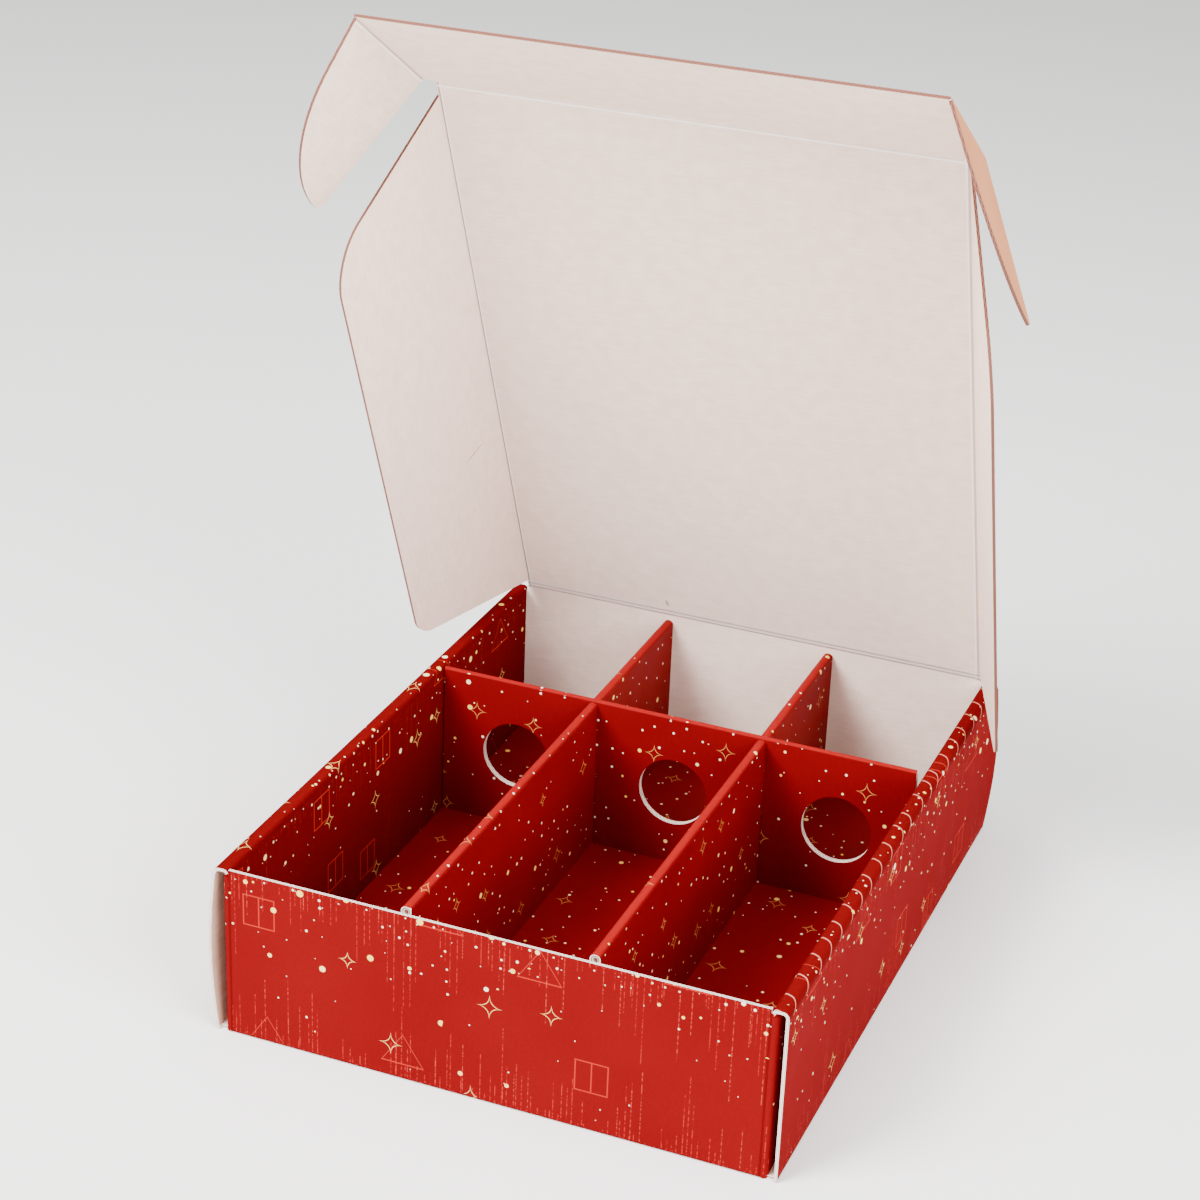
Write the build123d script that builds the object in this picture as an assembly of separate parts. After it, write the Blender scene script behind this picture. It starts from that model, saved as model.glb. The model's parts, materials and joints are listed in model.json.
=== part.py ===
"""Roll-end shipping box for three bottles, with its lid open.

The box, its lid and the lid's flaps are one die-cut sheet of fine-fluted
corrugated board. Two more folded sheets stand loose in it: a bay insert with
two fins that run from front to back, and a cross partition with three holes
that the bottle necks pass through.

Frame: millimetres, +Z up, the front wall faces -Y, and the origin is the
centre of the tray's underside. Each panel of the lid that turns at a crease
is a solid of its own, because it moves.
"""

from build123d import *
import math
import os

# ---- driving dimensions (mm) -------------------------------------------------

WIDTH = 300.0            # outside, left to right
DEPTH = 368.0            # outside, front to back
HEIGHT = 95.0            # table to the top of the side walls
BOARD = 1.6              # thickness of the box's board
INSERT_BOARD = 1.5       # thickness of the insert's and the partition's board

SIDE_WALL = 8.6          # a double side wall over both of its panels
BAND_OUTER_R = 3.4       # outer corner of the band on top of a side wall
BAND_INNER_R = 2.4       # corner of the band beside the bays
FLOOR_EDGE_R = 1.4       # outer radius where a wall is folded up from the floor
CORNER_R = 2.6           # outer radius where a corner flap is folded back
CORNER_FLAP = 82.0       # length of the corner flaps in the side walls
CORNER_TAPER = 6.0       # how much a corner flap's edges run in over its length
FOLD_GAP = 0.2           # between board faces that lie against each other
CREASE_GAP = 0.15        # between two panels at a crease that moves
HINGE_GAP = 0.35         # under the lid's crease, on top of the back wall

TAB_LENGTH = 30.0        # lock tabs of the inner side panels, in floor slots
TAB_SPACING = 190.0      # between the two tabs of a side
TAB_CLEAR = 0.4          # round a lock tab in its slot

LID_ANGLE = 67.7         # lid's opening, from shut
LID_FRONT_CLEAR = 1.0    # front wall to the shut front flap
LID_SIDE_CLEAR = 0.5     # side wall to the shut lid flaps

LID_FLAP_FOOT_CLEAR = 3.8    # table to the shut lid flaps' free edges
LID_FLAP_REAR_START = 5.0    # along the crease, before a lid flap's rear edge
LID_FLAP_REAR_TAPER = 19.8   # degrees that the rear edge leans forward
LID_FLAP_REAR_R = 16.0
LID_FLAP_FRONT_START = 8.0  # along the crease, behind the lid's front
LID_FLAP_FRONT_TAPER = 27.0  # degrees that the front edge leans back
LID_FLAP_FRONT_R = 40.0
LEFT_SPLAY = 17.8            # degrees past square to the lid, outward
RIGHT_SPLAY = 21.5

FRONT_FLAP_FOOT_CLEAR = 3.8  # table to the shut front flap's free edge
FRONT_FLAP_FOLD = 35.7       # degrees, folded in from the lid's plane
FRONT_FLAP_NOTCH = 2.5       # depth of the relief beside its crease

WING_FOOT_CLEAR = 9.8        # table to the arc of a wing when the box is shut
WING_FOLD = 63.0             # degrees, folded in from the front flap's plane
WING_START = 3.0             # along the wing's crease, before its straight edge
WING_TIP_R = 7.0
WING_RELIEF = 1.0            # wing crease to the front flap's free edge

INSERT_SIDE_CLEAR = 0.6      # insert to the side walls
INSERT_FRONT_CLEAR = 9.0     # insert to the front wall
INSERT_BACK_CLEAR = 0.7      # insert to the back wall
FIN_SPACING = 99.0           # between the middles of the two fins
FIN_WIDTH = 5.6              # over both layers of a fin
FIN_DROP = 2.2               # top of the fins below the side walls' top
SEAT_GAP = 0.2               # loose sheets to what they stand on

PARTITION_Y = 66.0           # middle of the partition, behind the middle
PARTITION_WIDTH = 3.4        # over both layers
PARTITION_END_CLEAR = 5.0    # both ends together, to the side walls
PARTITION_OFFSET = -1.6      # the partition stands nearer to the left wall
PARTITION_DROP = 0.8         # its top below the side walls' top
HALF_LAP_CLEAR = 0.4         # round the crossing of fins and partition
NECK_HOLE_R = 20.0
NECK_HOLE_Z = 48.0           # middle of a neck hole above the table
FOLD_ROUND = 0.9             # share of a folded top's half width that is round

# ---- sizes that follow -------------------------------------------------------

HALF_W = WIDTH / 2
HALF_D = DEPTH / 2
INNER_X = HALF_W - SIDE_WALL                 # inner face of a side wall
CORNER_X = INNER_X + 2 * BOARD + FOLD_GAP    # outer face of a corner flap
SLOT_X = (CORNER_X + HALF_W - BOARD) / 2     # middle of the slot for a wing
INNER_Y = HALF_D - BOARD                     # inner face of the end walls

HINGE_Y = HALF_D - BOARD / 2
HINGE_Z = HEIGHT + BOARD / 2
LID_LENGTH = HINGE_Y + HALF_D + LID_FRONT_CLEAR + BOARD / 2
LID_FLAP_X = INNER_X - LID_SIDE_CLEAR - BOARD / 2    # crease of a lid flap
PANEL_INSET = BOARD / 2 + CREASE_GAP         # panel edge to a crease's axis
LID_FLAP_DEPTH = HINGE_Z - LID_FLAP_FOOT_CLEAR
FRONT_FLAP_DEPTH = HINGE_Z - FRONT_FLAP_FOOT_CLEAR
WING_RADIUS = HINGE_Z - WING_FOOT_CLEAR      # round the lid's front corner

INSERT_Z = BOARD + SEAT_GAP                  # underside of the insert
INSERT_TOP = INSERT_Z + INSERT_BOARD         # its floor's upper face
FIN_TOP = HEIGHT - FIN_DROP
FIN_XS = (-FIN_SPACING / 2, FIN_SPACING / 2)
PARTITION_Z = INSERT_TOP + SEAT_GAP
PARTITION_TOP = HEIGHT - PARTITION_DROP
PARTITION_HALF = INNER_X - PARTITION_END_CLEAR / 2
LAP_Z = (PARTITION_Z + FIN_TOP) / 2          # where the two half-laps meet
BAY_HALF = (INNER_X - FIN_SPACING / 2) / 2
NECK_XS = (-INNER_X + BAY_HALF, 0.0, INNER_X - BAY_HALF)


# ---- helpers -------------------------------------------------------------------

def block(x0, x1, y0, y1, z0, z1):
    """A box between two corners."""
    corner = Pos(x0, y0, z0)
    size = Box(x1 - x0, y1 - y0, z1 - z0, align=(Align.MIN, Align.MIN, Align.MIN))
    return corner * size


class Sheet:
    """A flat panel's own plane: u runs along its crease and v away from it.

    inward is the side that faces into the box when it is shut.
    """

    def __init__(self, origin, u, v, inward):
        self.origin = Vector(*origin)
        self.u = Vector(*u).normalized()
        self.v = Vector(*v).normalized()
        self.inward = Vector(*inward).normalized()
        self.plane = Plane(self.origin, x_dir=self.u, z_dir=self.u.cross(self.v))

    def point(self, u, v):
        return self.origin + self.u * u + self.v * v

    def folded(self, start, end, flat, angle):
        """The sheet of a panel folded up from this one along start to end.

        flat is the way that the panel would point, in this plane, if it lay
        flat, and angle is its fold towards the inside of the box.
        """
        first = self.point(*start)
        along = self.point(*end) - first
        out = self.u * flat[0] + self.v * flat[1]
        fold = math.radians(angle)
        v = out * math.cos(fold) + self.inward * math.sin(fold)
        inward = self.inward * math.cos(fold) - out * math.sin(fold)
        return Sheet(first, along, v, inward)

    def cut_out(self, face):
        """A panel of board with the outline of a face drawn in u and v."""
        return extrude(self.plane * face, BOARD / 2, both=True)

    def bead(self, u0, u1):
        """The round edge of a panel along its crease, from u0 to u1."""
        rod = Cylinder(BOARD / 2, u1 - u0, align=(Align.CENTER, Align.CENTER, Align.MIN))
        return Plane(self.point(u0, 0), z_dir=self.u) * rod


def rounded_face(corners, radii):
    """A face from its corners, some of them rounded: radii is corner to radius."""
    face = make_face(Polyline(*corners, close=True))
    for corner, radius in radii.items():
        vertex = face.vertices().sort_by_distance((*corners[corner], 0))[0]
        face = fillet(vertex, radius)
    return face


# ---- the tray ------------------------------------------------------------------

def along_y(body, picked):
    """The edges of a body that run along Y and that picked accepts."""
    return [e for e in body.edges().filter_by(Axis.Y) if picked(e.center())]


def side_profile():
    """Floor and both rolled side walls, with one section from front to back."""
    roof = HEIGHT - BOARD
    body = block(-HALF_W, HALF_W, -HALF_D, HALF_D, 0, HEIGHT)
    body = fillet(along_y(body, lambda c: c.Z < BOARD), FLOOR_EDGE_R)
    body = fillet(along_y(body, lambda c: c.Z > roof), BAND_OUTER_R)
    body -= block(-INNER_X, INNER_X, -DEPTH, DEPTH, BOARD, 2 * HEIGHT)
    body = fillet(along_y(body, lambda c: c.Z > roof and abs(c.X) < INNER_X + FOLD_GAP),
                  BAND_INNER_R)
    for side in (-1, 1):
        near = side * (INNER_X + BOARD)
        x0, x1 = sorted((near, side * (HALF_W - BOARD)))
        cavity = block(x0, x1, -DEPTH, DEPTH, BOARD, roof)
        body -= fillet(along_y(cavity, lambda c: c.Z > HEIGHT / 2 and abs(c.X) > SLOT_X),
                       BAND_OUTER_R - BOARD)
        x0, x1 = sorted((side * (INNER_X - BOARD), near))
        body -= block(x0, x1, -DEPTH, DEPTH, BOARD, BOARD + FOLD_GAP)
    return body


def inner_panel_ends(body):
    """Cut the inner side panels back to stand between the end walls."""
    reach = INNER_Y - FOLD_GAP
    for side in (-1, 1):
        x0, x1 = sorted((side * (INNER_X - FOLD_GAP), side * (INNER_X + BOARD)))
        for end in (-1, 1):
            y0, y1 = sorted((end * reach, end * DEPTH))
            body -= block(x0, x1, y0, y1, BOARD, HEIGHT - BAND_INNER_R)
    return body


def lock_tabs(body):
    """Two tabs under each inner side panel, and the floor slots they enter."""
    for side in (-1, 1):
        for end in (-1, 1):
            middle = end * TAB_SPACING / 2
            x0, x1 = sorted((side * INNER_X, side * (INNER_X + BOARD)))
            y0 = middle - TAB_LENGTH / 2
            y1 = middle + TAB_LENGTH / 2
            body -= block(x0 - TAB_CLEAR, x1 + TAB_CLEAR, y0 - TAB_CLEAR, y1 + TAB_CLEAR,
                          -BOARD, BOARD)
            body += block(x0, x1, y0, y1, FOLD_GAP, 2 * BOARD)
    return body


def end_wall(end, top):
    """An end wall with its two corner flaps, folded back into the side walls."""
    y0, y1 = sorted((end * HALF_D, end * (HALF_D - CORNER_FLAP)))
    shell = block(-CORNER_X, CORNER_X, y0, y1, 0, top)
    corners = [e for e in shell.edges().filter_by(Axis.Z) if abs(e.center().Y) > INNER_Y]
    shell = fillet(corners, CORNER_R)
    y0, y1 = sorted((end * INNER_Y, end * (HALF_D - 2 * CORNER_FLAP)))
    hollow = block(-CORNER_X + BOARD, CORNER_X - BOARD, y0, y1, -BOARD, top + BOARD)
    corners = [e for e in hollow.edges().filter_by(Axis.Z)
               if abs(e.center().Y) > INNER_Y - FOLD_GAP]
    shell -= fillet(corners, CORNER_R - BOARD)
    low = BOARD + FOLD_GAP
    high = HEIGHT - BOARD - 2 * FOLD_GAP
    near = end * (HALF_D - CORNER_R)
    far = end * (HALF_D - 2 * CORNER_FLAP)
    rise = CORNER_TAPER * abs(far - near) / CORNER_FLAP
    for z_near, z_far, z_off in ((low, low + rise, -HEIGHT), (high, high - rise, 2 * HEIGHT)):
        corners = [(near, z_near), (far, z_far), (far, z_off), (near, z_off)]
        shell -= extrude(Plane.YZ * rounded_face(corners, {}), WIDTH, both=True)
    for side in (-1, 1):
        x0, x1 = sorted((side * (INNER_X - FOLD_GAP), side * WIDTH))
        shell -= block(x0, x1, -DEPTH, DEPTH, high, 2 * HEIGHT)
    return shell


def bottom_edge_round(end):
    """What rounding the fold under an end wall takes away."""
    y0, y1 = sorted((end * HALF_D, end * (HALF_D - FLOOR_EDGE_R)))
    corner = block(-WIDTH, WIDTH, y0, y1, -FLOOR_EDGE_R, FLOOR_EDGE_R)
    rod = Cylinder(FLOOR_EDGE_R, 4 * WIDTH, rotation=(0, 90, 0))
    low = block(-WIDTH, WIDTH, y0, y1, 0, FLOOR_EDGE_R)
    return (corner & low) - Pos(0, end * (HALF_D - FLOOR_EDGE_R), FLOOR_EDGE_R) * rod


def make_tray():
    tray = inner_panel_ends(side_profile())
    tray = tray + end_wall(-1, HEIGHT)
    tray = tray + end_wall(1, HINGE_Z - BOARD / 2 - HINGE_GAP)
    tray = lock_tabs(tray)
    for end in (-1, 1):
        tray -= bottom_edge_round(end)
    return tray


# ---- the lid and its flaps -----------------------------------------------------

def lid_sheet():
    """The lid's plane: u to the right, v from the hinge to the lid's front."""
    a = math.radians(LID_ANGLE)
    return Sheet((0, HINGE_Y, HINGE_Z), (1, 0, 0), (0, -math.cos(a), math.sin(a)),
                 (0, -math.sin(a), -math.cos(a)))


def make_lid(lid):
    half = LID_FLAP_X - PANEL_INSET
    front = LID_LENGTH - PANEL_INSET
    corners = [(-half, 0), (half, 0), (half, front), (-half, front)]
    return lid.cut_out(rounded_face(corners, {})) + lid.bead(-half, half)


def lid_flap_sheet(lid, side, splay):
    """A side flap of the lid: u along its crease, from the hinge forward."""
    x = side * LID_FLAP_X
    return lid.folded((x, 0), (x, LID_LENGTH), (side, 0), 90 - splay)


def make_lid_flap(flap):
    rear = LID_FLAP_REAR_START
    front = LID_LENGTH - LID_FLAP_FRONT_START
    depth = LID_FLAP_DEPTH
    rear_low = rear + depth * math.tan(math.radians(LID_FLAP_REAR_TAPER))
    front_low = front - depth * math.tan(math.radians(LID_FLAP_FRONT_TAPER))
    corners = [(rear, 0), (front, 0), (front_low, depth), (rear_low, depth)]
    face = rounded_face(corners, {2: LID_FLAP_FRONT_R, 3: LID_FLAP_REAR_R})
    return flap.cut_out(face) + flap.bead(rear, front)


def front_flap_sheet(lid):
    return lid.folded((0, LID_LENGTH), (1, LID_LENGTH), (0, 1), FRONT_FLAP_FOLD)


def make_front_flap(flap):
    crease = LID_FLAP_X - PANEL_INSET
    half = SLOT_X - PANEL_INSET
    notch = FRONT_FLAP_NOTCH
    depth = FRONT_FLAP_DEPTH
    right = [(crease, 0), (crease + notch, notch), (half, notch), (half, depth)]
    left = [(-u, v) for u, v in reversed(right)]
    return flap.cut_out(rounded_face(right + left, {})) + flap.bead(-crease, crease)


def wing_sheet(front_flap, side):
    """A wing: u along its crease, from the lid's front outward."""
    x = side * SLOT_X
    return front_flap.folded((x, 0), (x, 1), (side, 0), WING_FOLD)


def make_wing(wing):
    start = WING_START
    end = FRONT_FLAP_DEPTH - WING_RELIEF
    radius = WING_RADIUS
    tip = math.sqrt(radius ** 2 - start ** 2)
    touch = math.acos(radius / end)
    middle = (touch + math.acos(start / radius)) / 2
    meet = (radius * math.cos(touch), radius * math.sin(touch))
    crown = (radius * math.cos(middle), radius * math.sin(middle))
    outline = (Line((start, 0), (end, 0)) + Line((end, 0), meet)
               + ThreePointArc(meet, crown, (start, tip)) + Line((start, tip), (start, 0)))
    face = make_face(outline)
    face = fillet(face.vertices().sort_by_distance((start, tip, 0))[0], WING_TIP_R)
    return wing.cut_out(face) + wing.bead(start, end)


# ---- the insert and the partition ----------------------------------------------

def fin_outline(x, width, low, top):
    """A strip with a round top, as wide as a fin or as the space in it."""
    body = block(x - width / 2, x + width / 2, -INNER_Y, INNER_Y, low, top)
    tops = [e for e in body.edges().filter_by(Axis.Y) if e.center().Z > top - FOLD_GAP]
    return fillet(tops, FOLD_ROUND * width / 2)


def make_insert():
    reach_x = INNER_X - INSERT_SIDE_CLEAR
    front_y = INSERT_FRONT_CLEAR - INNER_Y
    back_y = INNER_Y - INSERT_BACK_CLEAR
    insert = block(-reach_x, reach_x, -INNER_Y, INNER_Y, INSERT_Z, INSERT_TOP)
    for x in FIN_XS:
        insert += fin_outline(x, FIN_WIDTH, INSERT_Z, FIN_TOP)
        space = FIN_WIDTH - 2 * INSERT_BOARD
        insert -= fin_outline(x, space, INSERT_Z - BOARD, FIN_TOP - INSERT_BOARD)
        slot = PARTITION_WIDTH / 2 + HALF_LAP_CLEAR
        insert -= block(x - FIN_WIDTH, x + FIN_WIDTH, PARTITION_Y - slot, PARTITION_Y + slot,
                        LAP_Z - HALF_LAP_CLEAR, 2 * HEIGHT)
    return insert & block(-WIDTH, WIDTH, front_y, back_y, 0, HEIGHT)


def make_partition():
    x0 = PARTITION_OFFSET - PARTITION_HALF
    x1 = PARTITION_OFFSET + PARTITION_HALF
    half = PARTITION_WIDTH / 2
    body = block(x0, x1, PARTITION_Y - half, PARTITION_Y + half, PARTITION_Z, PARTITION_TOP)
    tops = [e for e in body.edges().filter_by(Axis.X) if e.center().Z > PARTITION_TOP - FOLD_GAP]
    body = fillet(tops, FOLD_ROUND * half)
    space = half - INSERT_BOARD
    body -= block(x0 - BOARD, x1 + BOARD, PARTITION_Y - space, PARTITION_Y + space,
                  0, PARTITION_TOP - INSERT_BOARD)
    for x in FIN_XS:
        slot = FIN_WIDTH / 2 + HALF_LAP_CLEAR
        body -= block(x - slot, x + slot, PARTITION_Y - SIDE_WALL, PARTITION_Y + SIDE_WALL,
                      0, LAP_Z + HALF_LAP_CLEAR)
    for x in NECK_XS:
        drill = Cylinder(NECK_HOLE_R, 4 * PARTITION_WIDTH, rotation=(90, 0, 0))
        body -= Pos(x, PARTITION_Y, NECK_HOLE_Z) * drill
    return body


# ---- build and write -----------------------------------------------------------

def build():
    lid = lid_sheet()
    left = lid_flap_sheet(lid, -1, LEFT_SPLAY)
    right = lid_flap_sheet(lid, 1, RIGHT_SPLAY)
    front = front_flap_sheet(lid)
    return {
        "tray": make_tray(),
        "lid_panel": make_lid(lid),
        "lid_flap_left": make_lid_flap(left),
        "lid_flap_right": make_lid_flap(right),
        "front_flap": make_front_flap(front),
        "wing_left": make_wing(wing_sheet(front, -1)),
        "wing_right": make_wing(wing_sheet(front, 1)),
        "bay_insert": make_insert(),
        "cross_partition": make_partition(),
    }


def main():
    os.makedirs("parts", exist_ok=True)
    for name, body in build().items():
        export_step(body, os.path.join("parts", name + ".step"))
        print(name, len(body.solids()), "solid, volume", round(body.volume), "mm3")


main()
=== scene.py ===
# %% [markdown]
# # A printed bottle box, folded from flat board
# The object is a mailer made of three sheets of fine corrugated board: the box with its lid, an insert
# that makes three bays, and a partition that holds the bottle necks. The CAD model says where every
# panel is. Here each sheet is real board: printed outside, plain inside, and fluted at its cut edges.

# %% Load the CAD model
import json
import math

import bmesh
import bpy
from mathutils import Matrix, Vector


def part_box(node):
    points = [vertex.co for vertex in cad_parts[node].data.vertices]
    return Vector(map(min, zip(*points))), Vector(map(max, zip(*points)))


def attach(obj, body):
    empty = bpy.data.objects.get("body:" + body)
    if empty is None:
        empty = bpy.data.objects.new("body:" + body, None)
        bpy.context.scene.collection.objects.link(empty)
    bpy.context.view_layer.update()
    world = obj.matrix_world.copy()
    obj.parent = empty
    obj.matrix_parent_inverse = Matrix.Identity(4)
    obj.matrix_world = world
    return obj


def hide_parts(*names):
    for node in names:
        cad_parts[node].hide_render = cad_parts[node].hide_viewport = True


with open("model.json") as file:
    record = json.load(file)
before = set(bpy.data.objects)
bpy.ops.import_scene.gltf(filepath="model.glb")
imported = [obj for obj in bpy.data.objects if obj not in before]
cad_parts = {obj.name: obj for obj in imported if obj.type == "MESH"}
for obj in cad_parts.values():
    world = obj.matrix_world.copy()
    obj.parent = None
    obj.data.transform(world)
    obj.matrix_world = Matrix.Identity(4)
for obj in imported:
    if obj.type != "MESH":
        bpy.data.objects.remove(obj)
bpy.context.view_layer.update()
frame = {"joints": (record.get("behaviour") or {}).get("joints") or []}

# %% [markdown]
# ## Sizes
# The outside of the tray comes from the CAD model, and so does every crease, because each one is a
# joint in the record. The board's thickness and the play between panels are the real ones. Everything
# is drawn in millimetres, as a carton maker does, and made metres at the end.

# %% Board and tray
BOARD = 1.6
INSERT_BOARD = 1.5
PLAY = 0.2
X, Y, Z = Vector((1, 0, 0)), Vector((0, 1, 0)), Vector((0, 0, 1))


def corners_mm(node):
    """The lowest and highest corner of a CAD node, in mm."""
    low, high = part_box(node)
    return low * 1000, high * 1000


_, tray_high = corners_mm("tray")
HALF_W, HALF_D, HEIGHT = tray_high.x, tray_high.y, tray_high.z
SIDE_WALL = 8.6
INNER_X = HALF_W - SIDE_WALL
INNER_Y = HALF_D - BOARD
CORNER_X = INNER_X + 2 * BOARD + PLAY
print(f"tray {2 * HALF_W:.0f} x {2 * HALF_D:.0f} x {HEIGHT:.0f} mm")

# %% Creases
CREASES = {j["name"]: (Vector(j["pos_m"]) * 1000, Vector(j["axis"])) for j in frame["joints"]}
hinge, _ = CREASES["lid_hinge"]
flap_crease, LID_OUT = CREASES["lid_flap_left_crease"]
front_crease, _ = CREASES["front_flap_crease"]
wing_crease, FRONT_OUT = CREASES["wing_left_crease"]
LID_IN = X.cross(LID_OUT)
FRONT_IN = X.cross(FRONT_OUT)
LID_LENGTH = (front_crease - hinge).length
FLAP_X = -flap_crease.x
SLOT_X = -wing_crease.x
print(f"lid {2 * FLAP_X:.1f} x {LID_LENGTH:.1f} mm between its creases")

# %% [markdown]
# ## Colours and nodes
# Colours are picked as sRGB hex values, and the shader wants them linear, so one function turns them.
# Another adds a node with its settings and its links, which keeps each step of a pattern on one line.
# Kinds of node and settings that come often get a short name.

# %% Helpers
MATH, VECTOR, RANGE, MIX = "ShaderNodeMath", "ShaderNodeVectorMath", "ShaderNodeMapRange", "ShaderNodeMix"
NOISE, CELLS, ATTRIBUTE = "ShaderNodeTexNoise", "ShaderNodeTexVoronoi", "ShaderNodeAttribute"
SPLIT, CHANNELS = "ShaderNodeSeparateXYZ", "ShaderNodeSeparateColor"
PLUS, MINUS, TIMES, POWER, ABSOLUTE, BELOW, ABOVE, LARGER = (
    {"operation": name} for name in ("ADD", "SUBTRACT", "MULTIPLY", "POWER", "ABSOLUTE", "LESS_THAN",
                                     "GREATER_THAN", "MAXIMUM"))
COLOURS, FLAT_NOISE = {"data_type": "RGBA"}, {"noise_dimensions": "2D"}


def new_object(name, data):
    """A new object in the scene."""
    made = bpy.data.objects.new(name, data)
    bpy.context.scene.collection.objects.link(made)
    return made


def linear(code):
    """A hex colour as linear red, green, blue and alpha."""
    parts = [int(code[i:i + 2], 16) / 255 for i in (1, 3, 5)]
    return [c / 12.92 if c <= 0.04045 else ((c + 0.055) / 1.055) ** 2.4 for c in parts] + [1.0]


def add(tree, kind, settings=None, inputs=None):
    """Add a node; inputs maps an input's name or number to a value, a node or a socket."""
    node = tree.nodes.new(kind)
    for key, value in (settings or {}).items():
        setattr(node, key, value)
    for key, value in (inputs or {}).items():
        if isinstance(value, bpy.types.Node):
            value = value.outputs[0]
        if isinstance(value, bpy.types.NodeSocket):
            tree.links.new(value, node.inputs[key])
        else:
            node.inputs[key].default_value = value
    return node


# %% [markdown]
# ## The print
# The board's outside is offset-printed paper under a satin film: red, with gold and white dots, outlined
# four-point stars, faint outlines of trees and parcels, and broken streaks from the walls' top and
# bottom edges. Each is drawn with a few sums on the sheet's own coordinates, so it stays sharp at any
# distance. The shapes sit in the cells of a Voronoi texture: its distance draws a dot, and the offset
# from its point draws the others.

# %% Dots
def dots(tree, sheet, cell, smallest, largest, share):
    """Round dots, one to a cell: share is how many cells have one, as a number or a socket."""
    rim, favour_small = 0.25, 1.8
    cells = add(tree, CELLS, {"voronoi_dimensions": "2D"}, {"Vector": sheet, "Scale": 1 / cell})
    pick = add(tree, CHANNELS, None, {0: cells.outputs["Color"]})
    mostly_small = add(tree, MATH, POWER, {0: pick.outputs[0], 1: favour_small})
    radius = add(tree, RANGE, None, {0: mostly_small, 3: smallest / cell, 4: largest / cell})
    inside = add(tree, MATH, MINUS, {0: radius, 1: cells.outputs["Distance"]})
    soft = add(tree, MATH, {"operation": "MULTIPLY", "use_clamp": True}, {0: inside, 1: cell / rim})
    shown = add(tree, MATH, BELOW, {0: pick.outputs[1], 1: share})
    mask = add(tree, MATH, TIMES, {0: soft, 1: shown})
    return mask, pick.outputs[2]


# %% Stars
def stars(tree, sheet, cell, reach, line, share):
    """Outlined four-point stars: the curve sqrt(x) + sqrt(y) = sqrt(reach), drawn line mm wide."""
    smallest, sharpness = 0.7, 2.5
    cells = add(tree, CELLS, {"voronoi_dimensions": "2D"},
                {"Vector": sheet, "Scale": 1 / cell, "Randomness": 0.7})
    pick = add(tree, CHANNELS, None, {0: cells.outputs["Color"]})
    offset = add(tree, VECTOR, MINUS, {0: sheet, 1: cells.outputs["Position"]})
    folded = add(tree, VECTOR, ABSOLUTE, {0: offset})
    arms = add(tree, SPLIT, None, {0: folded})
    across = add(tree, MATH, {"operation": "SQRT"}, {0: arms.outputs[0]})
    up = add(tree, MATH, {"operation": "SQRT"}, {0: arms.outputs[1]})
    both = add(tree, MATH, PLUS, {0: across, 1: up})
    size = add(tree, MATH, POWER, {0: both, 1: 2.0})
    wanted = add(tree, RANGE, None, {0: pick.outputs[0], 3: smallest * reach, 4: reach})
    away = add(tree, MATH, MINUS, {0: size, 1: wanted})
    ring = add(tree, MATH, ABSOLUTE, {0: away})
    inside = add(tree, MATH, MINUS, {0: line, 1: ring})
    soft = add(tree, MATH, {"operation": "MULTIPLY", "use_clamp": True}, {0: inside, 1: sharpness})
    shown = add(tree, MATH, BELOW, {0: pick.outputs[1], 1: share})
    return add(tree, MATH, TIMES, {0: soft, 1: shown})


# %% Trees and parcels
def outlines(tree, sheet, cell, size, line, share):
    """Thin outlines of a triangle or of a square with a ribbon, one to a cell."""
    steepness, core, fade = 1.5, 0.6, 1.4
    cells = add(tree, CELLS, {"voronoi_dimensions": "2D"},
                {"Vector": sheet, "Scale": 1 / cell, "Randomness": 0.55})
    pick = add(tree, CHANNELS, None, {0: cells.outputs["Color"]})
    offset = add(tree, VECTOR, MINUS, {0: sheet, 1: cells.outputs["Position"]})
    place = add(tree, SPLIT, None, {0: offset})
    across = add(tree, MATH, ABSOLUTE, {0: place.outputs[0]})
    level = add(tree, MATH, ABSOLUTE, {0: place.outputs[1]})
    under = add(tree, MATH, TIMES, {0: place.outputs[1], 1: -1.0})
    slope = add(tree, MATH, TIMES, {0: across, 1: steepness})
    side = add(tree, MATH, MINUS, {0: slope, 1: under})
    tree_size = add(tree, MATH, LARGER, {0: side, 1: under})
    parcel_size = add(tree, MATH, LARGER, {0: across, 1: level})
    tree_away = add(tree, MATH, MINUS, {0: tree_size, 1: size})
    parcel_away = add(tree, MATH, MINUS, {0: parcel_size, 1: size})
    tree_line = add(tree, MATH, ABSOLUTE, {0: tree_away})
    box_line = add(tree, MATH, ABSOLUTE, {0: parcel_away})
    in_box = add(tree, MATH, LARGER, {0: across, 1: parcel_away})
    ribbon = add(tree, MATH, {"operation": "MINIMUM"}, {0: box_line, 1: in_box})
    which = add(tree, MATH, ABOVE, {0: pick.outputs[2], 1: 0.5})
    away = add(tree, MIX, None, {0: which, 2: tree_line, 3: ribbon})
    soft = add(tree, RANGE, None, {0: away, 1: core * line, 2: fade * line, 3: 1.0, 4: 0.0})
    shown = add(tree, MATH, BELOW, {0: pick.outputs[1], 1: share})
    return add(tree, MATH, TIMES, {0: soft, 1: shown})


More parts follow.
